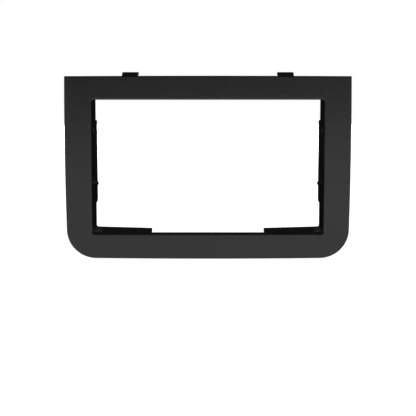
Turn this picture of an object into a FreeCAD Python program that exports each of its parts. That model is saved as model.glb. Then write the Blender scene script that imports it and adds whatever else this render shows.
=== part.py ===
import FreeCAD
import Part
import math
import os

# Mounting frame for a double-height car radio, one injection moulding.
# The origin is the centre of the radio opening, on the plane that touches the front of the crown.
# X runs to the right as seen from the driver's side, Y runs back into the dashboard, Z runs up.

# Radio chassis and the opening that takes it
chassis_width = 178.0
chassis_height = 100.0
side_clearance = 1.0
height_clearance = 2.1
opening_corner_radius = 1.5
opening_edge_radius = 1.5

# Outline of the face, given as the bars round the opening
top_bar = 18.25
bottom_bar = 20.15
side_bar_top = 21.3
side_bar_bottom = 19.8
top_bow = 0.3
bottom_bow = 0.82
side_bow = 0.38
lower_corner_radius = 22.8
outer_edge_radius = 0.8

# Crowned face and the skirt behind its edge
crown_radius = 700.0
crown_height = -21.6
face_thickness = 2.6
skirt_thickness = 2.2
rim_depth = 14.0

# Collar round the opening: deep side walls, shallow lips and corner ledges between them
collar_thickness = 2.4
lip_depth = 7.8
wall_depth = 40.0
ledge_reach = 44.5
ledge_end_depth = 31.6

# Bracket behind each side wall, with its radio screw holes
bracket_length = 13.0
bracket_bottom = -32.7
bracket_top = 33.4
bracket_chamfer = 2.5
screw_hole_radius = 2.6
screw_hole_depth = 44.5
screw_hole_spacing = 53.0
screw_hole_centre = 1.75

# Snap window in each side wall
window_height = 5.4
window_length = 12.0
window_depth = 16.0
window_centre = 26.6
window_corner_radius = 1.5

# Centring rail along each side wall, which falls toward the rear
rail_height = 3.1
rail_projection = 0.8
rail_front_centre = -13.1
rail_fall = 5.2
rail_start = 8.0
rail_lead = 12.0

# Stop pads on the lower ledges
pad_width = 6.2
pad_height = 2.1
pad_start = 8.0
pad_length = 13.0

# Locating tabs along the top edge
tab_centre = 60.6
tab_width = 12.4
tab_thickness = 2.4
tab_rise = 2.8
tab_start = 9.5
tab_ramp = 5.0
tab_end = 26.0
tab_nose = 1.2

# Snap hooks along the lower edge
hook_centre = 60.7
hook_width = 12.0
hook_end = 28.0
hook_barb = 1.3
hook_catch_depth = 19.0
hook_tip = 1.2

# Ribs and gussets behind the face
rib_thickness = 1.6
rib_rim_gap = 2.0
rib_count = 2
lip_rib_first = 12.0
lip_rib_spacing = 20.0
ledge_rib_first = 54.0
ledge_rib_spacing = 18.0
ledge_rib_setback = 5.0
gusset_count = 4
gusset_span = 84.0
gusset_setback = 6.0
gusset_land = 1.5

# Worked out from the sizes above
half_width = chassis_width / 2 + side_clearance
half_height = chassis_height / 2 + height_clearance
top_edge = half_height + top_bar
bottom_edge = -half_height - bottom_bar
wall_outside = half_width + collar_thickness
bracket_end = wall_depth + bracket_length
rib_end = rim_depth - rib_rim_gap

# Working allowances: how far joined pieces reach into each other, and how exactly edges are matched
overlap = 0.5
tolerance = 0.001


def point(x, y, z):
    return FreeCAD.Vector(x, y, z)


def front_depth(z):
    """Depth of the crowned front surface at a height."""
    return crown_radius - math.sqrt(crown_radius ** 2 - (z - crown_height) ** 2)


def arc(start, middle, end):
    return Part.Arc(start, middle, end).toShape()


def crown_solid(radius):
    """Everything behind a crowned surface that is concentric with the front of the face."""
    reach = 2 * (half_width + side_bar_top)
    start = point(-reach, crown_radius, crown_height)
    return Part.makeCylinder(radius, 2 * reach, start, point(1, 0, 0))


def prism(points, direction):
    """Extrudes the closed polygon through the points."""
    return Part.Face(Part.makePolygon(points + [points[0]])).extrude(direction)


def edges_along_depth(solid, chosen):
    """Edges that run straight back and whose place passes the test."""
    found = []
    for edge in solid.Edges:
        first, last = edge.Vertexes[0].Point, edge.Vertexes[-1].Point
        straight = abs(first.x - last.x) + abs(first.z - last.z) < tolerance
        if straight and chosen(first):
            found.append(edge)
    return found


def outline_prism(inset, start, end):
    """The outline of the face, moved inward by the inset and carried along the depth."""
    top = top_edge - inset
    bottom = bottom_edge + inset
    upper_x = half_width + side_bar_top - inset
    lower_x = half_width + side_bar_bottom - inset
    upper_z = top - top_bow
    lower_z = bottom + bottom_bow
    middle_x = (upper_x + lower_x) / 2 + side_bow
    middle_z = (upper_z + lower_z) / 2
    upper_left = point(-upper_x, start, upper_z)
    upper_right = point(upper_x, start, upper_z)
    lower_right = point(lower_x, start, lower_z)
    lower_left = point(-lower_x, start, lower_z)
    wire = Part.Wire([
        arc(upper_left, point(0, start, top), upper_right),
        arc(upper_right, point(middle_x, start, middle_z), lower_right),
        arc(lower_right, point(0, start, bottom), lower_left),
        arc(lower_left, point(-middle_x, start, middle_z), upper_left),
    ])
    solid = Part.Face(wire).extrude(point(0, end - start, 0))
    lower_corners = edges_along_depth(solid, lambda place: place.z < 0)
    return solid.makeFillet(lower_corner_radius - inset, lower_corners)


def rounded_block(half_x, half_z, radius, start, end):
    """A block centred on the opening's axis, with its corners rounded."""
    block = Part.makeBox(2 * half_x, end - start, 2 * half_z, point(-half_x, start, -half_z))
    return block.makeFillet(radius, edges_along_depth(block, lambda place: True))


def mirrored(solid):
    """The solid and its mirror image on the other side of the opening."""
    return [solid, solid.mirror(point(0, 0, 0), point(1, 0, 0))]


def face_shell():
    """The crowned face with the skirt behind its edge."""
    outside = outline_prism(0, -face_thickness, rim_depth).common(crown_solid(crown_radius))
    inside = outline_prism(skirt_thickness, -face_thickness, rim_depth + overlap)
    return outside.cut(inside.common(crown_solid(crown_radius - face_thickness)))


def ledge_depth(x):
    """Depth of the ledges' rear edge, which falls from the side wall to the ledge's end."""
    share = (x - ledge_reach) / (half_width - ledge_reach)
    return ledge_end_depth + share * (wall_depth - ledge_end_depth)


def relief(side):
    """What is taken off the collar behind a lip and its two ledges: side is 1 at the top, -1 below."""
    lip_end = front_depth(side * half_height) + lip_depth
    behind = wall_depth + overlap
    base = side * (half_height - overlap)
    plan = [
        point(-ledge_reach, lip_end, base),
        point(-ledge_reach, ledge_end_depth, base),
        point(-half_width, wall_depth, base),
        point(-half_width, behind, base),
        point(half_width, behind, base),
        point(half_width, wall_depth, base),
        point(ledge_reach, ledge_end_depth, base),
        point(ledge_reach, lip_end, base),
    ]
    return prism(plan, point(0, 0, side * (collar_thickness + 2 * overlap)))


def collar():
    """Side walls, lips and ledges, cut from one block round the opening."""
    outer_radius = opening_corner_radius + collar_thickness
    outer_half = half_height + collar_thickness
    block = rounded_block(wall_outside, outer_half, outer_radius, 0, wall_depth)
    block = block.common(crown_solid(crown_radius - face_thickness / 2))
    return block.cut([relief(1), relief(-1)])


def bracket():
    """The plate that carries the radio screws, with its rear corners cut off."""
    start = wall_depth - overlap
    profile = [
        point(half_width, start, bracket_bottom),
        point(half_width, bracket_end - bracket_chamfer, bracket_bottom),
        point(half_width, bracket_end, bracket_bottom + bracket_chamfer),
        point(half_width, bracket_end, bracket_top - bracket_chamfer),
        point(half_width, bracket_end - bracket_chamfer, bracket_top),
        point(half_width, start, bracket_top),
    ]
    return prism(profile, point(collar_thickness, 0, 0))


def wall_cuts():
    """Two screw holes and the snap window, through one side wall."""
    start = half_width - rail_projection - overlap
    length = collar_thickness + rail_projection + 2 * overlap
    cuts = []
    for side in (-1, 1):
        height = screw_hole_centre + side * screw_hole_spacing / 2
        place = point(start, screw_hole_depth, height)
        cuts.append(Part.makeCylinder(screw_hole_radius, length, place, point(1, 0, 0)))
    low = point(start, window_depth - window_length / 2, window_centre - window_height / 2)
    window = Part.makeBox(length, window_length, window_height, low)
    across = [edge for edge in window.Edges if abs(edge.Length - length) < tolerance]
    cuts.append(window.makeFillet(window_corner_radius, across))
    return cuts


def rail():
    """A low rounded rail that centres the chassis, with a sloping start."""
    low = rail_front_centre - rail_height / 2
    high = rail_front_centre + rail_height / 2
    base = half_width + overlap
    crest = half_width - rail_projection
    wire = Part.Wire([
        Part.makeLine(point(base, rail_start, low), point(half_width, rail_start, low)),
        arc(point(half_width, rail_start, low), point(crest, rail_start, rail_front_centre),
            point(half_width, rail_start, high)),
        Part.makeLine(point(half_width, rail_start, high), point(base, rail_start, high)),
        Part.makeLine(point(base, rail_start, high), point(base, rail_start, low)),
    ])
    bar = Part.Face(wire).extrude(point(0, bracket_end - rail_start, -rail_fall))
    under = low - rail_fall - overlap
    slope = [
        point(half_width, rail_start - overlap, under),
        point(crest - overlap, rail_start - overlap, under),
        point(crest - overlap, rail_start + rail_lead, under),
        point(crest, rail_start + rail_lead, under),
        point(half_width, rail_start, under),
    ]
    return bar.cut(prism(slope, point(0, 0, high + overlap - under)))


def stop_pad():
    """A raised pad at the outer end of a lower ledge, sloped at its front."""
    floor = -half_height
    top = floor + pad_height
    inner = half_width - pad_width
    profile = [
        point(inner, pad_start, floor - overlap),
        point(inner, pad_start, floor),
        point(inner, pad_start + pad_height, top),
        point(inner, pad_start + pad_length, top),
        point(inner, pad_start + pad_length, floor - overlap),
    ]
    return prism(profile, point(pad_width + overlap, 0, 0))


def locating_tab():
    """A tongue that steps up from the top of the skirt and slides under the dashboard's edge."""
    left = tab_centre - tab_width / 2
    seat = top_edge - top_bow
    top = seat + tab_rise
    ramp_end = tab_start + tab_ramp
    profile = [
        point(left, tab_start, seat - skirt_thickness),
        point(left, tab_start, seat),
        point(left, ramp_end, top),
        point(left, tab_end - tab_nose, top),
        point(left, tab_end, top - tab_nose),
        point(left, tab_end, top - tab_thickness),
        point(left, ramp_end + tab_nose, top - tab_thickness),
        point(left, rim_depth, seat - skirt_thickness),
    ]
    return prism(profile, point(tab_width, 0, 0))


def tab_ribs():
    """Two ribs under a tongue, from the lip up to the tongue."""
    low = half_height + collar_thickness - overlap
    seat = top_edge - top_bow - skirt_thickness / 2
    ribs = []
    for side in (-1, 1):
        middle = tab_centre + side * (tab_width - rib_thickness) / 2
        start = point(middle - rib_thickness / 2, face_thickness, low)
        profile = [
            start,
            point(start.x, rib_end, low),
            point(start.x, rim_depth + tab_ramp, seat + tab_rise - skirt_thickness / 2),
            point(start.x, rim_depth, seat),
            point(start.x, face_thickness, seat),
        ]
        ribs.append(prism(profile, point(rib_thickness, 0, 0)))
    return ribs


def snap_hook():
    """A tongue behind the lower skirt with a barb that catches behind the dashboard's edge."""
    left = hook_centre - hook_width / 2
    outer = bottom_edge + bottom_bow
    inner = outer + skirt_thickness
    barb = outer - hook_barb
    profile = [
        point(left, rim_depth - overlap, inner),
        point(left, hook_end, inner),
        point(left, hook_end, inner - hook_tip),
        point(left, hook_catch_depth + hook_tip, barb),
        point(left, hook_catch_depth, barb),
        point(left, hook_catch_depth, outer),
        point(left, rim_depth - overlap, outer),
    ]
    return prism(profile, point(hook_width, 0, 0))


def brace(x, side, depth):
    """A rib between a lip or ledge and the skirt: side is 1 at the top, -1 below."""
    inner = side * (half_height + collar_thickness - overlap)
    edge = top_edge if side > 0 else bottom_edge
    outer = edge - side * (skirt_thickness - overlap + max(top_bow, bottom_bow))
    start = x - rib_thickness / 2
    profile = [
        point(start, 0, inner),
        point(start, depth, inner),
        point(start, rib_end, outer),
        point(start, 0, outer),
    ]
    return prism(profile, point(rib_thickness, 0, 0))


def side_gusset(z):
    """A gusset that holds a side wall upright from the skirt."""
    inner = wall_outside - overlap
    outer = half_width + min(side_bar_top, side_bar_bottom) - skirt_thickness + overlap
    depth = wall_depth - gusset_setback
    low = z - rib_thickness / 2
    plan = [
        point(inner, 0, low),
        point(inner, depth, low),
        point(wall_outside + gusset_land, depth, low),
        point(outer, rib_end, low),
        point(outer, 0, low),
    ]
    return prism(plan, point(0, 0, rib_thickness))


def ribs_and_gussets():
    """All the stiffening behind the face on one side of the middle."""
    pieces = []
    for side in (-1, 1):
        lip_end = front_depth(side * half_height) + lip_depth
        for index in range(rib_count):
            x = ledge_rib_first + index * ledge_rib_spacing
            pieces.append(brace(lip_rib_first + index * lip_rib_spacing, side, lip_end))
            pieces.append(brace(x, side, ledge_depth(x) - ledge_rib_setback))
    for index in range(gusset_count):
        pieces.append(side_gusset(gusset_span * (index / (gusset_count - 1) - 0.5)))
    return pieces


def front_edges(solid, in_opening):
    """Edges on the crowned front surface, either round the opening or outside it."""
    found = []
    for edge in solid.Edges:
        places = edge.discretize(5)
        on_front = all(abs(place.y - front_depth(place.z)) < tolerance for place in places)
        inside = all(abs(place.x) < half_width + overlap and abs(place.z) < half_height + overlap
                     for place in places)
        if on_front and inside == in_opening:
            found.append(edge)
    return found


def round_front_edges(solid):
    """Rounds the outer edge of the face and the edge of the opening."""
    solid = solid.makeFillet(outer_edge_radius, front_edges(solid, False))
    return solid.makeFillet(opening_edge_radius, front_edges(solid, True))


def mounting_frame():
    """The whole moulding."""
    added = [collar()]
    behind_face = crown_solid(crown_radius - face_thickness / 2)
    for piece in ribs_and_gussets() + tab_ribs():
        added += mirrored(piece.common(behind_face))
    for piece in (bracket(), locating_tab(), snap_hook()):
        added += mirrored(piece)
    solid = face_shell().fuse(added)
    end = bracket_end + overlap
    solid = solid.cut(rounded_block(half_width, half_height, opening_corner_radius, -face_thickness, end))
    solid = solid.fuse(mirrored(rail()) + mirrored(stop_pad()))
    cuts = []
    for piece in wall_cuts():
        cuts += mirrored(piece)
    solid = solid.cut(cuts).removeSplitter()
    return round_front_edges(solid)


os.makedirs("parts", exist_ok=True)
frame = mounting_frame()
print("solids:", len(frame.Solids), "valid:", frame.isValid(), "volume:", round(frame.Volume, 1))
print("box:", frame.BoundBox)
frame.exportStep("parts/mounting_frame.step")
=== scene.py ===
import math

import bmesh
import bpy
import numpy as np
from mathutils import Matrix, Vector


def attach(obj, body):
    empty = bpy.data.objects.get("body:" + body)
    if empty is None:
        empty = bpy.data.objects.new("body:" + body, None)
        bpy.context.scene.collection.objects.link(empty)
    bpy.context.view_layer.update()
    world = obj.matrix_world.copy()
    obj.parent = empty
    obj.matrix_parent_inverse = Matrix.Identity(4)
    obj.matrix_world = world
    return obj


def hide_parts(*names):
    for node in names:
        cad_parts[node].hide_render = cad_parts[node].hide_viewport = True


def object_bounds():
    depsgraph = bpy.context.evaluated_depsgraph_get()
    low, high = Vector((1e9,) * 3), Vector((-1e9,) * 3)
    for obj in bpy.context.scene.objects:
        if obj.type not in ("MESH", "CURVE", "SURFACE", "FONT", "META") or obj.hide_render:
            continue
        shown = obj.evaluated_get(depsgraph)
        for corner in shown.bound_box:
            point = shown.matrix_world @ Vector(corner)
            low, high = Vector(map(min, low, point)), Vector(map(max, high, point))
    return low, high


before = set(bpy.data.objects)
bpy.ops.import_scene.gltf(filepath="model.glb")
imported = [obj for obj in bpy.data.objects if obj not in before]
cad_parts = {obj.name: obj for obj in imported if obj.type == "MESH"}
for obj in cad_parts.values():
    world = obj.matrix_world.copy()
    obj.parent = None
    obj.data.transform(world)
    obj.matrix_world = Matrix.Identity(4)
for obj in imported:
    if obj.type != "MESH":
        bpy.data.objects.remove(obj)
packedBox = [list(corner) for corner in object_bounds()]
print("packed frame loaded")

mm = 0.001    # the part's sizes are in millimetres, in its own frame; lamps and the floor are in metres


# Camera: a long lens a metre off, looking slightly down at the face
cameraView = {
    "target": (0.09, 0.0, -31.73),    # the point in the middle of the picture
    "distance": 1000.0,
    "pitch": 7.748,                   # degrees below level
    "focal": 1284.0,                  # in pixels of the picture
    "pictureWidth": 416,
    "sensor": 36.0,
    "clip": (0.05, 50.0),             # in metres
}


def addCamera(look):
    pitch = math.radians(look["pitch"])
    data = bpy.data.cameras.new("productCamera")
    data.sensor_width = look["sensor"]
    data.lens = look["focal"] / look["pictureWidth"] * look["sensor"]
    data.clip_start, data.clip_end = look["clip"]
    camera = bpy.data.objects.new("productCamera", data)
    forward = Vector((0.0, math.cos(pitch), -math.sin(pitch)))
    camera.location = (Vector(look["target"]) - forward * look["distance"]) * mm
    camera.rotation_euler = (math.pi / 2 - pitch, 0.0, 0.0)
    bpy.context.collection.objects.link(camera)
    bpy.context.scene.camera = camera


addCamera(cameraView)
print("camera set")


# A Math node whose inputs are numbers or other nodes' outputs
def mathNode(tree, operation, *values):
    node = tree.nodes.new("ShaderNodeMath")
    node.operation = operation
    for socket, value in zip(node.inputs, values):
        if isinstance(value, (int, float)):
            socket.default_value = value
        else:
            tree.links.new(value, socket)
    return node.outputs[0]


# A smooth change from start, where the value is low, to end, where it is high
def rampNode(tree, value, low, high, start=0.0, end=1.0):
    node = tree.nodes.new("ShaderNodeMapRange")
    node.interpolation_type = "SMOOTHSTEP"
    tree.links.new(value, node.inputs["Value"])
    for name, number in (("From Min", low), ("From Max", high), ("To Min", start), ("To Max", end)):
        node.inputs[name].default_value = number
    return node.outputs["Result"]


def splitVector(tree, vector):
    parts = tree.nodes.new("ShaderNodeSeparateXYZ")
    tree.links.new(vector, parts.inputs[0])
    return parts.outputs["X"], parts.outputs["Y"], parts.outputs["Z"]


# The first shader where the share is 0, the second where it is 1
def mixShaders(tree, share, first, second):
    mix = tree.nodes.new("ShaderNodeMixShader")
    for socket, value in zip(mix.inputs, (share, first, second)):
        tree.links.new(value, socket)
    return mix.outputs[0]


# 1 for rays that show the backdrop and the floor as they are: from the camera, or through something clear
def directRays(tree, path):
    return mathNode(tree, "MAXIMUM", path.outputs["Is Camera Ray"], path.outputs["Is Transmission Ray"])


# World: white to the camera, a dim room round matt surfaces, and black or nearly so to gloss
studioWorld = {
    "backdrop": (1.0, 1.0, 1.0, 1.0),
    "room": (1.0, 1.0, 1.0, 1.0),
    "roomFront": 0.10, "roomBehind": 0.12,      # what matt surfaces gather from in front and behind
    "glossFront": 0.0, "glossBehind": 0.006,    # what gloss mirrors from in front and behind
    "turn": 0.35,                               # how far the change from one to the other spreads
}


def buildWorld(look):
    world = bpy.data.worlds.new("studioWorld")
    bpy.context.scene.world = world
    world.use_nodes = True
    tree = world.node_tree
    tree.nodes.clear()
    path = tree.nodes.new("ShaderNodeLightPath")
    direction = tree.nodes.new("ShaderNodeTexCoord").outputs["Generated"]
    _, behind, _ = splitVector(tree, direction)
    matt = rampNode(tree, behind, -look["turn"], look["turn"], look["roomFront"], look["roomBehind"])
    gloss = rampNode(tree, behind, -look["turn"], look["turn"], look["glossFront"], look["glossBehind"])
    change = mathNode(tree, "SUBTRACT", gloss, matt)
    strength = mathNode(tree, "ADD", matt, mathNode(tree, "MULTIPLY", change, path.outputs["Is Glossy Ray"]))
    room = tree.nodes.new("ShaderNodeBackground")
    room.inputs["Color"].default_value = look["room"]
    tree.links.new(strength, room.inputs["Strength"])
    seen = tree.nodes.new("ShaderNodeBackground")
    seen.inputs["Color"].default_value = look["backdrop"]
    seen.inputs["Strength"].default_value = 1.0
    surface = mixShaders(tree, directRays(tree, path), room.outputs[0], seen.outputs[0])
    out = tree.nodes.new("ShaderNodeOutputWorld")
    tree.links.new(surface, out.inputs["Surface"])


buildWorld(studioWorld)

# Lamps: a wide fill and two that gloss mirrors in front, and one behind that lights the ribs and walls
softboxes = [
    {
        "name": "fillBox", "power": 5.0, "size": (1.2, 0.5), "gloss": False,
        "at": (0.1, -1.3, 0.2), "aim": (0.0, 0.0, -0.01),
    },
    {
        "name": "rightBox", "power": 0.33, "size": (0.4, 0.3), "gloss": True,
        "at": (0.6, -1.1, 0.08), "aim": (0.0, 0.0, -0.01),
    },
    {
        "name": "stripBox", "power": 0.35, "size": (0.8, 0.3), "gloss": True,
        "at": (0.05, -0.6, -0.05), "aim": (0.0, -0.1, 0.0),
    },
    {
        "name": "rearBox", "power": 20.0, "size": (0.3, 0.3), "gloss": False,
        "at": (0.0, 1.5, 0.2), "aim": (0.0, 0.03, 0.0),
    },
]


def addSoftbox(box):
    data = bpy.data.lights.new(box["name"], "AREA")
    data.shape = "RECTANGLE"
    data.size, data.size_y = box["size"]
    data.energy = box["power"]
    lamp = bpy.data.objects.new(box["name"], data)
    lamp.location = box["at"]
    lamp.rotation_euler = (Vector(box["aim"]) - Vector(box["at"])).to_track_quat("-Z", "Y").to_euler()
    lamp.visible_camera = False
    lamp.visible_glossy = box["gloss"]
    bpy.context.collection.objects.link(lamp)


for box in softboxes:
    addSoftbox(box)

# Floor: pale and plain, white to the camera but for the part's shadow, and clear from below
floorPlan = {
    "halfWidth": 3.0, "gap": 0.0002,       # the gap is left between the floor and the part's lowest point
    "white": 0.9, "glow": 0.9,             # matt colour, and what is added to it for the camera
    "glossFar": 1.15, "far": -0.6,         # gloss sees it bright in front of the part, less so close to it
    "glossNear": 0.9, "near": -0.05,
    "glossBehind": 0.0, "fadeStart": -0.005, "fadeEnd": 0.02,
}


def floorMaterial(plan):
    material = bpy.data.materials.new("paleFloor")
    material.use_nodes = True
    tree = material.node_tree
    tree.nodes.clear()
    path = tree.nodes.new("ShaderNodeLightPath")
    spot = tree.nodes.new("ShaderNodeNewGeometry")
    _, depth, _ = splitVector(tree, spot.outputs["Position"])
    front = rampNode(tree, depth, plan["far"], plan["near"], plan["glossFar"], plan["glossNear"])
    share = rampNode(tree, depth, plan["fadeStart"], plan["fadeEnd"], 1.0, plan["glossBehind"])
    mirrored = tree.nodes.new("ShaderNodeEmission")
    tree.links.new(mathNode(tree, "MULTIPLY", front, share), mirrored.inputs["Strength"])
    shown = tree.nodes.new("ShaderNodeEmission")
    tree.links.new(mathNode(tree, "MULTIPLY", directRays(tree, path), plan["glow"]), shown.inputs["Strength"])
    matt = tree.nodes.new("ShaderNodeBsdfDiffuse")
    matt.inputs["Color"].default_value = (plan["white"],) * 3 + (1.0,)
    both = tree.nodes.new("ShaderNodeAddShader")
    tree.links.new(matt.outputs[0], both.inputs[0])
    tree.links.new(shown.outputs[0], both.inputs[1])
    above = mixShaders(tree, path.outputs["Is Glossy Ray"], both.outputs[0], mirrored.outputs[0])
    below = tree.nodes.new("ShaderNodeBsdfTransparent").outputs[0]
    out = tree.nodes.new("ShaderNodeOutputMaterial")
    tree.links.new(mixShaders(tree, spot.outputs["Backfacing"], above, below), out.inputs["Surface"])
    return material


def addFloor(plan):
    height = packedBox[0][2] - plan["gap"]
    reach = plan["halfWidth"]
    mesh = bpy.data.meshes.new("studioFloor")
    corners = [(x * reach, y * reach, height) for x, y in ((-1, -1), (1, -1), (1, 1), (-1, 1))]
    mesh.from_pydata(corners, [], [(0, 1, 2, 3)])
    mesh.materials.append(floorMaterial(plan))
    floor = bpy.data.objects.new("studioFloor", mesh)
    bpy.context.collection.objects.link(floor)


addFloor(floorPlan)
print("studio lit")

# Housing: the crowned face, its skirt and the collar, as one section carried round the opening
housing = {
    "halfWidth": 90.0, "halfHeight": 52.1, "openingCorner": 1.5, "openingEdge": 1.5,
    "top": 70.35, "bottom": -72.25, "sideTop": 111.3, "sideBottom": 109.8,
    "topBow": 0.3, "bottomBow": 0.82, "sideBow": 0.38,    # how far each side bows outward in its middle
    "upperCornerRun": 4.0, "lowerCorner": 22.8, "outerEdge": 0.8,
    "crownRadius": 700.0, "crownHeight": -21.6,           # the face's axis lies level, this far behind it
    "thickness": 2.6, "skirt": 2.2, "rimDepth": 14.0, "rimEdge": 0.3, "rootCurve": 0.9,
    "collar": 2.4, "lipDepth": 7.8, "wallDepth": 40.0,
    "ledgeReach": 44.5, "ledgeEnd": 31.6,                 # ledges fall from here to the walls' depth
    "bracketEnd": 53.0, "bracketBottom": -32.7, "bracketTop": 33.4, "bracketChamfer": 2.5,
}


# Finish: node groups that read the part's own coordinates, in metres, and give masks, shares and heights
finishScale = {
    "patches": (26.0, 26.0, 34.0),           # cloudy changes, 3 to 4 cm across
    "flow": (14.0, 60.0, 230.0),             # streaks drawn out along the bars
    "flowTurn": (0.0, 0.12, 0.0),
    "slides": (900.0, 22.0, 1500.0),         # hairlines that run back along the walls
    "slidesTurn": (0.06, 0.0, 0.03),
    "wipes": (30.0, 900.0, 2200.0),          # hairlines that run across the face
    "wipesTurn": (0.0, 0.35, 0.0),
    "handled": (45.0, 45.0, 45.0),           # where hairlines gather
}

# Levels of a noise between which each effect goes from none to full, and the shares that make up the grain
finishLevels = {
    "grain": (0.34, 0.62), "streaks": (0.42, 0.72), "gathered": (0.45, 0.7), "hairlines": (0.66, 0.74),
    "grainNoise": 0.55, "grainPits": 0.45, "middle": 0.5,
}

# Depths behind the crowned face between which each mask changes, in millimetres
faceDepths = {
    "faceEnds": (1.2, 1.8), "edgeBegins": (0.04, 0.3), "edgeEnds": (0.7, 1.5), "backWithin": (0.25, 0.5),
}

# Round witness marks that the ejector pins leave between the ribs on the back of the face, in millimetres
pinMarks = {
    "radius": 2.0, "line": 0.35, "barPitch": 21.0, "barHeight": 61.5, "barReach": 95.0,
    "sidePitch": 28.0, "sidePlace": 101.5, "sideReach": 45.0, "blur": 0.4,
}


def newGroup(name, inputs, outputs):
    group = bpy.data.node_groups.new(name, "ShaderNodeTree")
    for label, kind in inputs:
        group.interface.new_socket(name=label, in_out="INPUT", socket_type="NodeSocket" + kind)
    for label in outputs:
        group.interface.new_socket(name=label, in_out="OUTPUT", socket_type="NodeSocketFloat")
    return group, group.nodes.new("NodeGroupInput").outputs, group.nodes.new("NodeGroupOutput").inputs


def useGroup(tree, group, **values):
    node = tree.nodes.new("ShaderNodeGroup")
    node.node_tree = group
    for label, value in values.items():
        if isinstance(value, (int, float)):
            node.inputs[label].default_value = value
        else:
            tree.links.new(value, node.inputs[label])
    return node.outputs


def sizedNoise(tree, vector, scale, turn=(0.0, 0.0, 0.0), detail=2.0, rough=0.5):
    mapping = tree.nodes.new("ShaderNodeMapping")
    tree.links.new(vector, mapping.inputs["Vector"])
    mapping.inputs["Scale"].default_value = scale
    mapping.inputs["Rotation"].default_value = turn
    noise = tree.nodes.new("ShaderNodeTexNoise")
    tree.links.new(mapping.outputs["Vector"], noise.inputs["Vector"])
    noise.inputs["Scale"].default_value = 1.0
    noise.inputs["Detail"].default_value = detail
    noise.inputs["Roughness"].default_value = rough
    return noise.outputs["Fac"]


# Etched grain: fine noise with shallow round pits in it, both at the given pitch in metres
def grainGroup():
    tree, given, result = newGroup("etchedGrain", [("Vector", "Vector"), ("Pitch", "Float")], ["Height"])
    levels = finishLevels
    sized = tree.nodes.new("ShaderNodeVectorMath")
    sized.operation = "SCALE"
    tree.links.new(given["Vector"], sized.inputs[0])
    tree.links.new(mathNode(tree, "DIVIDE", 1.0, given["Pitch"]), sized.inputs["Scale"])
    pits = tree.nodes.new("ShaderNodeTexVoronoi")
    pits.feature = "SMOOTH_F1"
    pits.inputs["Scale"].default_value = 1.0
    tree.links.new(sized.outputs[0], pits.inputs["Vector"])
    fine = sizedNoise(tree, sized.outputs[0], (1.0, 1.0, 1.0), detail=1.0)
    fine = mathNode(tree, "MULTIPLY", fine, levels["grainNoise"])
    both = mathNode(tree, "MULTIPLY_ADD", pits.outputs["Distance"], levels["grainPits"], fine)
    tree.links.new(rampNode(tree, both, *levels["grain"]), result["Height"])
    return tree


# Slow change over the moulding: cloudy patches, and faint streaks where the melt flowed along the bars
def driftGroup():
    tree, given, result = newGroup("mouldDrift", [("Vector", "Vector")], ["Patches", "Streaks"])
    scale = finishScale
    tree.links.new(sizedNoise(tree, given["Vector"], scale["patches"], detail=3.0), result["Patches"])
    flow = sizedNoise(tree, given["Vector"], scale["flow"], scale["flowTurn"], detail=3.0, rough=0.6)
    tree.links.new(rampNode(tree, flow, *finishLevels["streaks"]), result["Streaks"])
    return tree


# Hairlines: noise drawn out along one direction, kept where it peaks and where a slower noise gathers them
def hairlineGroup():
    tree, given, result = newGroup("hairlines", [("Vector", "Vector")], ["Slides", "Wipes"])
    scale = finishScale
    handled = sizedNoise(tree, given["Vector"], scale["handled"])
    gathered = rampNode(tree, handled, *finishLevels["gathered"])
    for label, kind in (("Slides", "slides"), ("Wipes", "wipes")):
        drawn = sizedNoise(tree, given["Vector"], scale[kind], scale[kind + "Turn"], detail=1.0)
        peaks = rampNode(tree, drawn, *finishLevels["hairlines"])
        tree.links.new(mathNode(tree, "MULTIPLY", peaks, gathered), result[label])
    return tree


# Where a point lies behind the crowned face: on the face, on its rounded edges, or on the back of the panel
def faceGroup():
    tree, given, result = newGroup("faceDepth", [("Vector", "Vector")], ["Face", "Edge", "Back"])
    _, y, z = splitVector(tree, given["Vector"])
    h = housing
    rise = mathNode(tree, "SUBTRACT", z, h["crownHeight"] * mm)
    sag = mathNode(tree, "DIVIDE", mathNode(tree, "MULTIPLY", rise, rise), 2 * h["crownRadius"] * mm)
    depth = mathNode(tree, "SUBTRACT", y, sag)
    offBack = mathNode(tree, "ABSOLUTE", mathNode(tree, "SUBTRACT", depth, h["thickness"] * mm))

    def band(value, name, start, end):
        low, high = faceDepths[name]
        return rampNode(tree, value, low * mm, high * mm, start, end)

    edge = mathNode(tree, "MULTIPLY", band(depth, "edgeBegins", 0.0, 1.0), band(depth, "edgeEnds", 1.0, 0.0))
    tree.links.new(band(depth, "faceEnds", 1.0, 0.0), result["Face"])
    tree.links.new(edge, result["Edge"])
    tree.links.new(band(offBack, "backWithin", 1.0, 0.0), result["Back"])
    return tree


# Rings at a steady pitch along the middle of each bar: how near a point is to the nearest ring's line
def pinGroup():
    tree, given, result = newGroup("ejectorPins", [("Vector", "Vector")], ["Rings"])
    x, _, z = splitVector(tree, given["Vector"])
    across = mathNode(tree, "ABSOLUTE", x)
    up = mathNode(tree, "ABSOLUTE", z)
    p = pinMarks
    total = 0.0
    for along, pitch, reach, beside, place in (
        (across, p["barPitch"], p["barReach"], up, p["barHeight"]),
        (up, p["sidePitch"], p["sideReach"], across, p["sidePlace"]),
    ):
        step = mathNode(tree, "PINGPONG", along, pitch / 2 * mm)
        aside = mathNode(tree, "SUBTRACT", beside, place * mm)
        squares = mathNode(tree, "MULTIPLY_ADD", step, step, mathNode(tree, "MULTIPLY", aside, aside))
        fromRing = mathNode(tree, "SUBTRACT", mathNode(tree, "SQRT", squares), p["radius"] * mm)
        offLine = mathNode(tree, "ABSOLUTE", fromRing)
        ring = rampNode(tree, offLine, p["line"] / 2 * mm, p["line"] * mm, 1.0, 0.0)
        within = rampNode(tree, along, reach * mm, (reach + p["blur"]) * mm, 1.0, 0.0)
        total = mathNode(tree, "MULTIPLY_ADD", ring, within, total)
    tree.links.new(total, result["Rings"])
    return tree


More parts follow.
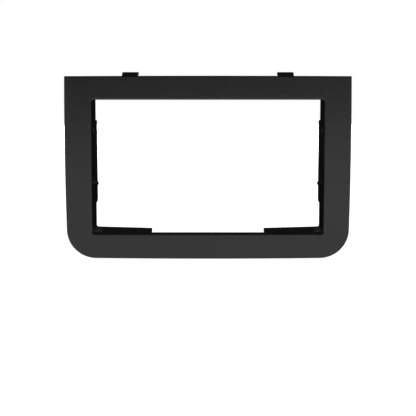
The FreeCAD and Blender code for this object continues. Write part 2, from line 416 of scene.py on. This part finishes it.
finishGroups = {
    "grain": grainGroup(), "drift": driftGroup(), "hairlines": hairlineGroup(),
    "face": faceGroup(), "pins": pinGroup(),
}

# One black plastic in three finishes: etched on the face, smooth behind it, and for the rails and pads a
# paler copy, rubbed where a radio slides in and with painted light in its colour
finishes = {
    "etchedBlack": {
        "colour": (0.0197, 0.0195, 0.0196), "pale": (0.030, 0.030, 0.030), "streaks": 0.10, "edgePale": 0.25,
        "roughness": 0.38, "behind": 0.44, "patches": 0.05, "polish": 0.05,
        "hairlines": 0.7, "grainPitch": 0.5, "relief": 0.03, "pitShade": 0.7,
    },
    "smoothBlack": {
        "colour": (0.0197, 0.0195, 0.0196), "pale": (0.032, 0.032, 0.032), "streaks": 0.30, "edgePale": 0.0,
        "roughness": 0.40, "behind": 0.42, "patches": 0.06, "polish": 0.03,
        "hairlines": 0.8, "grainPitch": 0.9, "relief": 0.012, "pitShade": 0.3,
    },
    # Paler than the others: partly rubbing, partly painted light standing in for the light that falls on the
    # rails and pads
    "rubbedAndPaintedLitBlack": {
        "colour": (0.045, 0.045, 0.045), "pale": (0.09, 0.09, 0.09), "streaks": 0.30, "edgePale": 0.0,
        "roughness": 0.36, "behind": 0.36, "patches": 0.05, "polish": 0.06,
        "hairlines": 1.0, "grainPitch": 0.9, "relief": 0.012, "pitShade": 0.2,
    },
}

# How strongly marks show in every finish: the pins' paleness, and the rise of pins and lines in grain heights
markStrength = {"pinPale": 0.5, "pinRise": 2.0, "lineRise": -0.3}


def blackPlastic(name, look):
    material = bpy.data.materials.new(name)
    material.use_nodes = True
    tree = material.node_tree
    shader = tree.nodes["Principled BSDF"]
    spot = tree.nodes.new("ShaderNodeTexCoord").outputs["Object"]
    grain = useGroup(tree, finishGroups["grain"], Vector=spot, Pitch=look["grainPitch"] * mm)["Height"]
    drift = useGroup(tree, finishGroups["drift"], Vector=spot)
    lines = useGroup(tree, finishGroups["hairlines"], Vector=spot)
    face = useGroup(tree, finishGroups["face"], Vector=spot)
    rings = useGroup(tree, finishGroups["pins"], Vector=spot)["Rings"]
    behind = mathNode(tree, "SUBTRACT", 1.0, face["Face"])
    pins = mathNode(tree, "MULTIPLY", rings, face["Back"])
    middle = finishLevels["middle"]

    # Hairlines wipe across the face, and slide back along the walls behind it
    slid = mathNode(tree, "MULTIPLY", lines["Slides"], behind)
    wiped = mathNode(tree, "MULTIPLY", lines["Wipes"], face["Face"])
    rubbed = mathNode(tree, "MULTIPLY", mathNode(tree, "ADD", slid, wiped), look["hairlines"])

    # Colour: painted shade in the grain's pits, paler along rubbed lines and flow streaks, paler on the
    # face's rounded edges from wear and a painted highlight, and paler at pin marks
    pits = mathNode(tree, "SUBTRACT", grain, middle)
    shade = mathNode(tree, "MULTIPLY_ADD", pits, look["pitShade"], rubbed)
    streaks = mathNode(tree, "MULTIPLY_ADD", drift["Streaks"], look["streaks"], shade)
    # Paler on the face's rounded edges, in patches: partly wear, partly a painted highlight on the rounding
    edges = mathNode(tree, "MULTIPLY", face["Edge"], drift["Patches"])
    edgesWornAndHighlit = mathNode(tree, "MULTIPLY_ADD", edges, look["edgePale"], streaks)
    paleness = mathNode(tree, "MULTIPLY_ADD", pins, markStrength["pinPale"], edgesWornAndHighlit)
    mix = tree.nodes.new("ShaderNodeMix")
    mix.data_type = "RGBA"
    mix.clamp_factor = False
    mix.inputs["A"].default_value = look["colour"] + (1.0,)
    mix.inputs["B"].default_value = look["pale"] + (1.0,)
    tree.links.new(paleness, mix.inputs["Factor"])
    tree.links.new(mix.outputs["Result"], shader.inputs["Base Color"])

    # Roughness: one level on the face and another behind it, cloudy, and lower where the plastic is polished
    level = mathNode(tree, "MULTIPLY_ADD", behind, look["behind"] - look["roughness"], look["roughness"])
    cloud = mathNode(tree, "MULTIPLY", mathNode(tree, "SUBTRACT", drift["Patches"], middle), look["patches"])
    polish = mathNode(tree, "MULTIPLY", mathNode(tree, "ADD", rubbed, face["Edge"]), look["polish"])
    roughness = mathNode(tree, "SUBTRACT", mathNode(tree, "ADD", level, cloud), polish)
    tree.links.new(roughness, shader.inputs["Roughness"])

    # Height: the grain, with hairlines cut into it and pin marks standing up from it
    bump = tree.nodes.new("ShaderNodeBump")
    bump.inputs["Strength"].default_value = 1.0
    bump.inputs["Distance"].default_value = look["relief"] * mm
    marked = mathNode(tree, "MULTIPLY_ADD", pins, markStrength["pinRise"], grain)
    height = mathNode(tree, "MULTIPLY_ADD", rubbed, markStrength["lineRise"], marked)
    tree.links.new(height, bump.inputs["Height"])
    tree.links.new(bump.outputs["Normal"], shader.inputs["Normal"])
    return material


finishMaterials = {name: blackPlastic(name, look) for name, look in finishes.items()}
print("finishes made:", ", ".join(finishMaterials))


# Meshes are worked out as whole arrays: a shape is a stack of rings of points, each ring an (n, 3) array
sharpAngle = 32.0    # edges that turn more than this, in degrees, stay hard
plateCorner = 0.4    # radius of the corners of a plate's profile
cornerSteps = 4      # points in such a corner, and in a plate's rounded rim


# Quads between each ring and the next one, and between the last and the first
def ringQuads(rings):
    here = np.arange(len(rings) * len(rings[0])).reshape(len(rings), -1)
    beside = np.roll(here, -1, axis=1)
    return np.stack([here, beside, np.roll(beside, -1, axis=0), np.roll(here, -1, axis=0)], axis=-1)


# A closed surface that wraps both ways
def stackRings(rings):
    return np.concatenate(rings), ringQuads(rings).reshape(-1, 4).tolist()


# A closed surface that ends in a flat face at the first and the last ring
def capRings(rings):
    quads = ringQuads(rings)
    caps = [quads[0, ::-1, 0].tolist(), quads[-1, :, 0].tolist()]
    return np.concatenate(rings), quads[:-1].reshape(-1, 4).tolist() + caps


def unit(vectors):
    return vectors / np.linalg.norm(vectors, axis=1)[:, None]


# Rounds a polygon's corners with arcs that touch both edges. Points on an arc are blends of its two ends,
# weighted by the sines of the angles left to each.
def softCorners(profile, radius, steps=cornerSteps):
    before = unit(np.roll(profile, 1, axis=0) - profile)
    after = unit(np.roll(profile, -1, axis=0) - profile)
    half = np.arccos(np.sum(before * after, axis=1))[:, None] / 2
    centre = profile + unit(before + after) * radius / np.sin(half)
    start = profile + before * radius / np.tan(half) - centre
    end = profile + after * radius / np.tan(half) - centre
    sweep = (math.pi - 2 * half)[:, None]
    share = np.linspace(0.0, 1.0, steps)[None, :, None]
    toEnd = np.sin(share * sweep) * end[:, None]
    arc = (np.sin((1 - share) * sweep) * start[:, None] + toEnd) / np.sin(sweep)
    return (centre[:, None] + arc).reshape(-1, 2)


# Moves a polygon's edges inward by a distance, along the bisector at each corner
def insetProfile(profile, distance):
    following = np.roll(profile, -1, axis=0)
    area = np.sum(profile[:, 0] * following[:, 1] - profile[:, 1] * following[:, 0])
    edge = unit(following - profile) * np.sign(area)
    inward = np.stack([-edge[:, 1], edge[:, 0]], axis=-1)
    earlier = np.roll(inward, 1, axis=0)
    bisector = (inward + earlier) / (1 + np.sum(inward * earlier, axis=1))[:, None]
    return profile + bisector * distance


# A flat plate: a rounded polygon carried across its thickness, its rims rounded by a quarter circle.
# The profile is in the two axes other than across, in the order x, y, z.
def plate(profile, across, middle, thickness, edge):
    outline = softCorners(np.array(profile, float), plateCorner)
    turn = np.linspace(0.0, math.pi / 2, cornerSteps)
    inset = edge * (1 - np.sin(turn))
    place = thickness / 2 - edge * (1 - np.cos(turn))
    insets = np.concatenate([inset, inset[::-1]])
    places = np.concatenate([-place, place[::-1]]) + middle
    axis = "xyz".index(across)
    return capRings([
        np.insert(insetProfile(outline, amount), axis, at, axis=1) for amount, at in zip(insets, places)
    ])


def mirrorPart(part):
    points, faces = part
    return points * (-1, 1, 1), [face[::-1] for face in faces]


def bothSides(parts):
    return parts + [mirrorPart(part) for part in parts]


def finishEdges(mesh):
    mesh.shade_smooth()
    mesh.set_sharp_from_angle(angle=math.radians(sharpAngle))


# Puts closed surfaces into one mesh, with every face turned outward and hard edges kept hard
def addPiece(name, parts, finish="smoothBlack"):
    start = 0
    faces = []
    for points, own in parts:
        faces += [[index + start for index in face] for face in own]
        start += len(points)
    mesh = bpy.data.meshes.new(name)
    mesh.from_pydata((np.concatenate([points for points, _ in parts]) * mm).tolist(), [], faces)
    build = bmesh.new()
    build.from_mesh(mesh)
    bmesh.ops.recalc_face_normals(build, faces=build.faces)
    build.to_mesh(mesh)
    build.free()
    piece = bpy.data.objects.new(name, mesh)
    bpy.context.collection.objects.link(piece)
    mesh.materials.append(finishMaterials[finish])
    finishEdges(mesh)
    return piece


# Takes closed cutters away from a piece and keeps the result as its mesh
def cutHoles(piece, cutters):
    tool = addPiece("holeCutter", cutters)
    modifier = piece.modifiers.new("holes", "BOOLEAN")
    modifier.object = tool
    modifier.operation = "DIFFERENCE"
    modifier.solver = "EXACT"
    depsgraph = bpy.context.evaluated_depsgraph_get()
    cut = bpy.data.meshes.new_from_object(piece.evaluated_get(depsgraph))
    piece.modifiers.clear()
    piece.data = cut
    bpy.data.objects.remove(tool)
    finishEdges(cut)


def place(piece):
    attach(piece, "root")


# How finely the housing is divided: columns along the opening's sides and in half a corner, points in its
# curves, and rings between two curves at shares of the way from one to the other
housingGrid = {
    "across": 45, "down": 35, "halfCorner": 12, "curve": 7, "rim": 4,
    "faceShares": (0.012, 0.2, 0.4, 0.6, 0.8, 0.988), "insideShares": (0.04, 0.35, 0.7),
    "outsideShares": (0.3, 0.7), "backShares": (0.25, 0.5, 0.75),
    "skirtStart": 0.2,           # the skirt's first ring lies this far behind the rounded front edge
    "step": 0.3,                 # columns that stand either side of a step in depth are this far apart
    "slack": 1e-4,               # lets a column that stands just at a limit count as inside it
}


# Depth of the crowned face at a height: a circle about a far axis, or a smaller one behind it
def crown(z, behind=0.0):
    h = housing
    return h["crownRadius"] - np.sqrt((h["crownRadius"] - behind) ** 2 - (z - h["crownHeight"]) ** 2)


# Where the grid's columns lie along the opening's straight sides, with a pair at each step in depth. They are
# rounded so that columns at the same place become one.
def sideStops():
    h, grid = housing, housingGrid
    step = grid["step"]
    run = h["halfWidth"] - h["openingCorner"]
    rise = h["halfHeight"] - h["openingCorner"]
    ledge = np.array([h["ledgeReach"], h["ledgeReach"] + step])
    across = np.concatenate([np.linspace(-run, run, grid["across"]), ledge, -ledge])
    upper, lower = h["bracketTop"], h["bracketBottom"]
    cut = h["bracketChamfer"]
    marks = np.array([upper + step, upper, upper - cut, lower + cut, lower, lower - step])
    down = np.concatenate([np.linspace(-rise, rise, grid["down"]), marks])
    return np.unique(across.round(4)), np.unique(down.round(4))


acrossStops, downStops = sideStops()
noLast, noEnds = slice(0, -1), slice(1, -1)    # which points of a run are kept where two runs meet


# Points of an arc between two angles, in degrees
def cornerArc(x, z, radius, start, end, kept):
    angle = np.radians(np.linspace(start, end, housingGrid["halfCorner"] + 1))[kept]
    return np.stack([x + radius * np.cos(angle), z + radius * np.sin(angle)], axis=-1)


# The opening moved outward by the outset: four straight sides with quarter circles between them
def openingLoop(outset):
    h = housing
    cx = h["halfWidth"] - h["openingCorner"]
    cz = h["halfHeight"] - h["openingCorner"]
    r = h["openingCorner"] + outset
    top = np.stack([acrossStops, np.full_like(acrossStops, cz + r)], axis=-1)
    right = np.stack([np.full_like(downStops, cx + r), downStops[::-1]], axis=-1)
    return np.concatenate([
        cornerArc(-cx, cz, r, 135, 90, noLast), top, cornerArc(cx, cz, r, 90, 45, noEnds),
        cornerArc(cx, cz, r, 45, 0, noLast), right, cornerArc(cx, -cz, r, 0, -45, noEnds),
        cornerArc(cx, -cz, r, -45, -90, noLast), top[::-1] * (1, -1),
        cornerArc(-cx, -cz, r, -90, -135, noEnds), cornerArc(-cx, -cz, r, -135, -180, noLast),
        right[::-1] * (-1, 1), cornerArc(-cx, cz, r, 180, 135, noEnds),
    ])


# The face's outline moved inward by the inset: four slightly bowed sides, each a parabola over its chord,
# square above and rounded below. The lower corners' arcs begin where they lean as much as the sides do.
def outlineLoop(inset):
    h = housing
    upperX, upperZ = h["sideTop"] - inset, h["top"] - h["topBow"] - inset
    lowerX, lowerZ = h["sideBottom"] - inset, h["bottom"] + h["bottomBow"] + inset
    r = h["lowerCorner"] - inset

    def topSide(x):
        return np.stack([x, h["top"] - inset - h["topBow"] * (x / upperX) ** 2], axis=-1)

    def bottomSide(x):
        return np.stack([x, h["bottom"] + inset + h["bottomBow"] * (x / lowerX) ** 2], axis=-1)

    def rightSide(z):
        t = (upperZ - z) / (upperZ - lowerZ)
        return np.stack([upperX + (lowerX - upperX) * t + 4 * h["sideBow"] * t * (1 - t), z], axis=-1)

    cz = lowerZ + r
    cx = rightSide(np.array([cz]))[0, 0] - r
    cz = bottomSide(np.array([cx]))[0, 1] + r
    lean = math.degrees((upperX - lowerX + 4 * h["sideBow"]) / (upperZ - lowerZ))
    rest = math.degrees(2 * h["bottomBow"] * cx / lowerX ** 2)

    share = (acrossStops / acrossStops[-1] + 1) / 2
    fall = 1 - (downStops[::-1] / downStops[-1] + 1) / 2
    run = np.linspace(0, h["upperCornerRun"], housingGrid["halfCorner"] + 1)
    edge = upperX - h["upperCornerRun"]
    start, end = upperZ - h["upperCornerRun"], cz - r * math.sin(math.radians(lean))
    top = topSide(-edge + 2 * edge * share)
    upperRight = rightSide(upperZ - run)
    right = rightSide(start + (end - start) * fall)
    bottom = bottomSide(cx * (2 * share - 1))[::-1]
    reach = cx + r * math.sin(math.radians(rest))
    bottom[[0, -1]] = bottomSide(np.array([reach, -reach]))
    return np.concatenate([
        topSide(-upperX + run)[noLast], top, topSide(edge + run)[noEnds],
        upperRight[noLast], right, cornerArc(cx, cz, r, -lean, -45, noEnds),
        cornerArc(cx, cz, r, -45, -90 + rest, noLast), bottom,
        cornerArc(cx, cz, r, -45, -90 + rest, noLast)[::-1][noLast] * (-1, 1),
        cornerArc(cx, cz, r, -45, -lean, noLast) * (-1, 1), right[::-1] * (-1, 1),
        upperRight[::-1][noEnds] * (-1, 1),
    ])


# Where the collar ends behind each point of the opening: lips, sloping ledges, walls and their brackets
def collarDepth(loop):
    h, slack = housing, housingGrid["slack"]
    x, z = np.abs(loop[:, 0]), loop[:, 1]
    share = (x - h["ledgeReach"]) / (h["halfWidth"] - h["ledgeReach"])
    ledge = h["ledgeEnd"] + share * (h["wallDepth"] - h["ledgeEnd"])
    lip = crown(np.sign(z) * h["halfHeight"]) + h["lipDepth"]
    depth = np.where(x < h["ledgeReach"] + housingGrid["step"] / 2, lip, ledge)
    onSide = np.abs(z) < h["halfHeight"] - h["openingCorner"] + slack
    fromEnd = np.minimum(h["bracketTop"] - z, z - h["bracketBottom"])
    bracket = h["bracketEnd"] - np.clip(h["bracketChamfer"] - fromEnd, 0.0, None)
    wall = np.where(fromEnd > -slack, bracket, h["wallDepth"])
    return np.where(onSide & (x > h["ledgeReach"]), wall, depth)


# The section's points, each as a ring round the opening or the outline, from the skirt's rear edge over the
# face, through the opening and round the collar to the back of the face and the inside of the skirt
def housingPart():
    h, grid = housing, housingGrid
    rings = []

    def ring(loop, depth):
        rings.append(np.insert(loop, 1, depth, axis=1))

    turn = np.radians(np.linspace(0.0, 90.0, grid["curve"]))
    soft = np.radians(np.linspace(0.0, 90.0, grid["rim"]))
    rim, edge = h["rimDepth"], h["rimEdge"]
    for angle in soft[::-1]:      # outer rear edge of the skirt
        ring(outlineLoop(edge * (1 - math.cos(angle))), rim - edge * (1 - math.sin(angle)))
    outside = h["outerEdge"]
    ring(outlineLoop(0.0), crown(outlineLoop(0.0)[:, 1]) + outside + grid["skirtStart"])
    for angle in turn:            # outer front edge
        loop = outlineLoop(outside * (1 - math.cos(angle)))
        ring(loop, crown(loop[:, 1]) + outside * (1 - math.sin(angle)))
    inside = h["openingEdge"]
    far, near = outlineLoop(outside), openingLoop(inside)
    for share in grid["faceShares"]:
        loop = far + (near - far) * share
        ring(loop, crown(loop[:, 1]))
    for angle in turn[::-1]:      # edge of the opening
        loop = openingLoop(inside * (1 - math.cos(angle)))
        ring(loop, crown(loop[:, 1]) + inside * (1 - math.sin(angle)))
    opening = openingLoop(0.0)
    depth = collarDepth(opening)
    begin = crown(opening[:, 1]) + inside
    for share in grid["insideShares"]:
        ring(opening, begin + (depth - edge - begin) * share)
    for angle in soft:            # rear edge of the collar, inside then outside
        ring(openingLoop(edge * (1 - math.cos(angle))), depth - edge * (1 - math.sin(angle)))
    collar = h["collar"]
    for angle in soft[::-1]:
        ring(openingLoop(collar - edge * (1 - math.cos(angle))), depth - edge * (1 - math.sin(angle)))
    root = h["rootCurve"]
    outerWall = openingLoop(collar)
    back = crown(outerWall[:, 1], h["thickness"])
    for share in grid["outsideShares"]:
        ring(outerWall, depth - edge + (back + root - depth + edge) * share)
    for angle in turn:            # hollow curve from the collar to the back of the face
        loop = openingLoop(collar + root * (1 - math.cos(angle)))
        ring(loop, crown(loop[:, 1], h["thickness"]) + root * (1 - math.sin(angle)))
    near, far = openingLoop(collar + root), outlineLoop(h["skirt"] + root)
    for share in grid["backShares"]:
        loop = near + (far - near) * share
        ring(loop, crown(loop[:, 1], h["thickness"]))
    for angle in turn[::-1]:      # hollow curve from the back of the face to the skirt
        loop = outlineLoop(h["skirt"] + root * (1 - math.cos(angle)))
        ring(loop, crown(loop[:, 1], h["thickness"]) + root * (1 - math.sin(angle)))
    for angle in soft:            # inner rear edge of the skirt
        ring(outlineLoop(h["skirt"] - edge * (1 - math.cos(angle))), rim - edge * (1 - math.sin(angle)))
    return stackRings(rings)


sideHoles = {
    "screwRadius": 2.6, "screwDepth": 44.5, "screwHeights": (-24.75, 28.25), "screwSteps": 40,
    "windowDepth": 16.0, "windowHeight": 26.6, "windowLength": 12.0, "windowRise": 5.4,
    "windowCorner": 1.5, "windowSteps": 8, "chamfer": 0.25, "overshoot": 0.5,
}


# A closed cutter through a side wall: the outline straight through, flared as a small chamfer at both faces
def holeCutter(outline):
    near = housing["halfWidth"]
    far = near + housing["collar"]
    chamfer, over = sideHoles["chamfer"], sideHoles["overshoot"]
    wide = insetProfile(outline, -chamfer - over)
    places = ((near - over, wide), (near + chamfer, outline), (far - chamfer, outline), (far + over, wide))
    return capRings([np.insert(profile, 0, x, axis=1) for x, profile in places])


def sideCutters():
    s = sideHoles
    angle = np.linspace(0.0, 2 * math.pi, s["screwSteps"], endpoint=False)
    circle = np.stack([np.cos(angle), np.sin(angle)], axis=-1) * s["screwRadius"]
    outlines = [circle + (s["screwDepth"], height) for height in s["screwHeights"]]
    window = np.array([(-1, -1), (1, -1), (1, 1), (-1, 1)]) * (s["windowLength"] / 2, s["windowRise"] / 2)
    rounded = softCorners(window, s["windowCorner"], s["windowSteps"])
    outlines.append(rounded + (s["windowDepth"], s["windowHeight"]))
    return bothSides([holeCutter(outline) for outline in outlines])


faceHousing = addPiece("faceHousing", [housingPart()], "etchedBlack")
cutHoles(faceHousing, sideCutters())
place(faceHousing)
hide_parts("mounting_frame")
print("housing made:", len(faceHousing.data.polygons), "faces")


# Ribs behind the lips and ledges, gussets beside the walls
ribs = {
    "thickness": 1.6, "edge": 0.25, "rimGap": 2.0, "sunk": 0.8, "overlap": 0.5,
    "lipRibs": (12.0, 32.0), "ledgeRibs": (54.0, 72.0), "ledgeSetback": 5.0,
    "gussets": (-42.0, -14.0, 14.0, 42.0), "gussetSetback": 6.0, "gussetLand": 1.5,
}


def behindFace(z):
    return float(crown(z, housing["thickness"])) - ribs["sunk"]


# A plate across a lip or ledge, above the opening or below it, that falls from the given depth to the rim
def lipRib(x, side, depth):
    h = housing
    inner = side * (h["halfHeight"] + h["collar"] - ribs["overlap"])
    edge = h["top"] if side > 0 else h["bottom"]
    outer = edge - side * (h["skirt"] - ribs["overlap"] + max(h["topBow"], h["bottomBow"]))
    end = h["rimDepth"] - ribs["rimGap"]
    profile = [(behindFace(inner), inner), (depth, inner), (end, outer), (behindFace(outer), outer)]
    return plate(profile, "x", x, ribs["thickness"], ribs["edge"])


# A level plate beside a side wall, with a short land at its deepest point, that falls from there to the rim
def gusset(z):
    h = housing
    wall = h["halfWidth"] + h["collar"]
    inner, depth = wall - ribs["overlap"], h["wallDepth"] - ribs["gussetSetback"]
    outer = h["sideBottom"] - h["skirt"] + ribs["overlap"]
    end = h["rimDepth"] - ribs["rimGap"]
    front = behindFace(z)
    land = wall + ribs["gussetLand"]
    profile = [(inner, front), (inner, depth), (land, depth), (outer, end), (outer, front)]
    return plate(profile, "z", z, ribs["thickness"], ribs["edge"])


def ribParts():
    h = housing
    parts = [gusset(z) for z in ribs["gussets"]]
    for side in (-1, 1):
        lipEnd = float(crown(side * h["halfHeight"])) + h["lipDepth"]
        parts += [lipRib(x, side, lipEnd) for x in ribs["lipRibs"]]
        for x in ribs["ledgeRibs"]:
            share = (x - h["ledgeReach"]) / (h["halfWidth"] - h["ledgeReach"])
            depth = h["ledgeEnd"] + share * (h["wallDepth"] - h["ledgeEnd"]) - ribs["ledgeSetback"]
            parts.append(lipRib(x, side, depth))
    return bothSides(parts)


rearRibs = addPiece("rearRibs", ribParts())
place(rearRibs)


# Locating tabs above the top edge: a tongue that ramps up and runs back, with two ribs under each
topTab = {
    "middle": 60.6, "width": 12.4, "thickness": 2.4, "rise": 2.8, "start": 9.5,
    "ramp": 5.0, "end": 26.0, "nose": 1.2, "edge": 0.3,
}


def tabParts():
    h, t = housing, topTab
    seat = h["top"] - h["topBow"]
    top = seat + t["rise"]
    under = top - t["thickness"]
    rampEnd = t["start"] + t["ramp"]
    tongue = [
        (t["start"], seat - h["skirt"]), (t["start"], seat), (rampEnd, top), (t["end"] - t["nose"], top),
        (t["end"], top - t["nose"]), (t["end"], under), (rampEnd + t["nose"], under),
        (h["rimDepth"], seat - h["skirt"]),
    ]
    parts = [plate(tongue, "x", t["middle"], t["width"], t["edge"])]
    low = h["halfHeight"] + h["collar"] - ribs["overlap"]
    high = seat - h["skirt"] / 2
    support = [
        (behindFace(low), low), (h["rimDepth"] - ribs["rimGap"], low),
        (h["rimDepth"] + t["ramp"], high + t["rise"] - h["skirt"] / 2), (h["rimDepth"], high),
        (behindFace(high), high),
    ]
    for side in (-1, 1):
        middle = t["middle"] + side * (t["width"] - ribs["thickness"]) / 2
        parts.append(plate(support, "x", middle, ribs["thickness"], ribs["edge"]))
    return bothSides(parts)


topTabs = addPiece("topTabs", tabParts())
place(topTabs)


# Snap hooks behind the lower edge: a level arm with a barb below, square in front and ramped behind
snapHook = {"middle": 60.7, "width": 12.0, "end": 28.0, "barb": 1.3, "catch": 19.0, "tip": 1.2, "edge": 0.3}


def hookParts():
    h, k = housing, snapHook
    outer = h["bottom"] + h["bottomBow"]
    inner = outer + h["skirt"]
    root = h["rimDepth"] - ribs["overlap"]
    low = outer - k["barb"]
    profile = [
        (root, inner), (k["end"], inner), (k["end"], inner - k["tip"]), (k["catch"] + k["tip"], low),
        (k["catch"], low), (k["catch"], outer), (root, outer),
    ]
    return bothSides([plate(profile, "x", k["middle"], k["width"], k["edge"])])


lowerHooks = addPiece("lowerHooks", hookParts())
place(lowerHooks)


# Centring rails inside the side walls
sideRail = {
    "height": 3.1, "proud": 0.8, "frontCentre": -13.1, "fall": 5.2, "start": 8.0, "lead": 12.0, "root": 0.5,
    "archSteps": 15, "runSteps": 9, "runStart": 24.0, "firstShare": 0.02,
    "noseStart": 0.4, "nose": ((0.1, 0.9), (0.0, 0.6)),    # distances from the end, and the arch left there
}


# A flat arch carried back along the wall: it grows from nothing over its lead and sinks at a steady rate
def railPart():
    r = sideRail
    wall, end = housing["halfWidth"], housing["bracketEnd"]
    lead = np.linspace(r["start"], r["start"] + r["lead"], r["runSteps"])
    run = np.linspace(r["runStart"], end - r["noseStart"], r["runSteps"])
    nose = np.array(r["nose"])
    depth = np.concatenate([lead, run, end - nose[:, 0]])
    left = np.concatenate([np.ones(2 * r["runSteps"]), nose[:, 1]])
    grown = np.minimum((depth - r["start"]) / r["lead"] + r["firstShare"], 1.0) * left
    centre = r["frontCentre"] - r["fall"] * (depth - r["start"]) / (end - r["start"])
    arch = np.radians(np.linspace(180.0, 0.0, r["archSteps"]))
    z = centre[:, None] + np.cos(arch) * r["height"] / 2
    x = wall - np.sin(arch) * r["proud"] * grown[:, None]
    z = np.concatenate([z, z[:, [-1, 0]]], axis=1)
    x = np.concatenate([x, np.full((len(depth), 2), wall + r["root"])], axis=1)
    return capRings(np.stack([x, np.broadcast_to(depth[:, None], x.shape), z], axis=-1))


# The rails take the paler finish, whose colour holds painted light
centringRails = addPiece("centringRails", bothSides([railPart()]), "rubbedAndPaintedLitBlack")
place(centringRails)


# Stop pads at the outer ends of the lower ledges: a block with a ramp in front, sunk into the ledge
stopPad = {"width": 6.2, "height": 2.1, "start": 8.0, "length": 13.0, "edge": 0.3, "sunk": 1.4}


def padParts():
    h, k = housing, stopPad
    floor = -h["halfHeight"]
    top = floor + k["height"]
    profile = [
        (k["start"], floor - k["sunk"]), (k["start"], floor), (k["start"] + k["height"], top),
        (k["start"] + k["length"], top), (k["start"] + k["length"], floor - k["sunk"]),
    ]
    width = k["width"] + ribs["overlap"]
    middle = h["halfWidth"] - k["width"] / 2 + ribs["overlap"] / 2
    return bothSides([plate(profile, "x", middle, width, k["edge"])])


# The pads take the paler finish, whose colour holds painted light
stopPads = addPiece("stopPads", padParts(), "rubbedAndPaintedLitBlack")
place(stopPads)
print("ribs, tabs, hooks, rails and pads made")

bpy.context.scene.view_settings.view_transform = "Standard"
